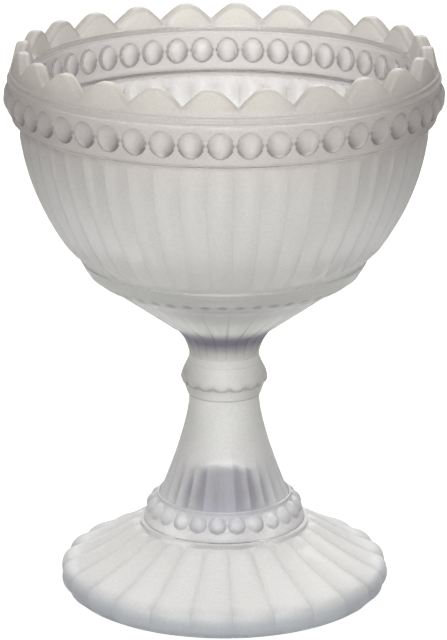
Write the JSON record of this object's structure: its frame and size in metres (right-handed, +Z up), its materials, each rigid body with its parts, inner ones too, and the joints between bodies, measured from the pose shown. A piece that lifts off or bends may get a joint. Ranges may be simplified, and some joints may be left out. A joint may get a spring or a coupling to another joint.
{
  "type": "footed bowl",
  "caption": "Footed bowl of frosted pressed glass: fluted basin with a pearled band and scalloped rim, on a knop, a tapered hollow stem and a lobed round foot.",
  "frame": {"origin": "centre of the foot's underside, on the surface that the bowl stands on", "axes": "+Z up along the bowl's axis, towards the open rim; -Y is the pictured front"},
  "size_m": [0.1202, 0.1202, 0.155],
  "materials": {
    "frosted_glass": "satin frosted outside, smooth inside"
  },
  "bodies": {
    "root": {"foot": "frosted_glass", "foot_collar": "frosted_glass", "stem": "frosted_glass", "knop": "frosted_glass", "bowl": "frosted_glass"}
  },
  "joints": []
}
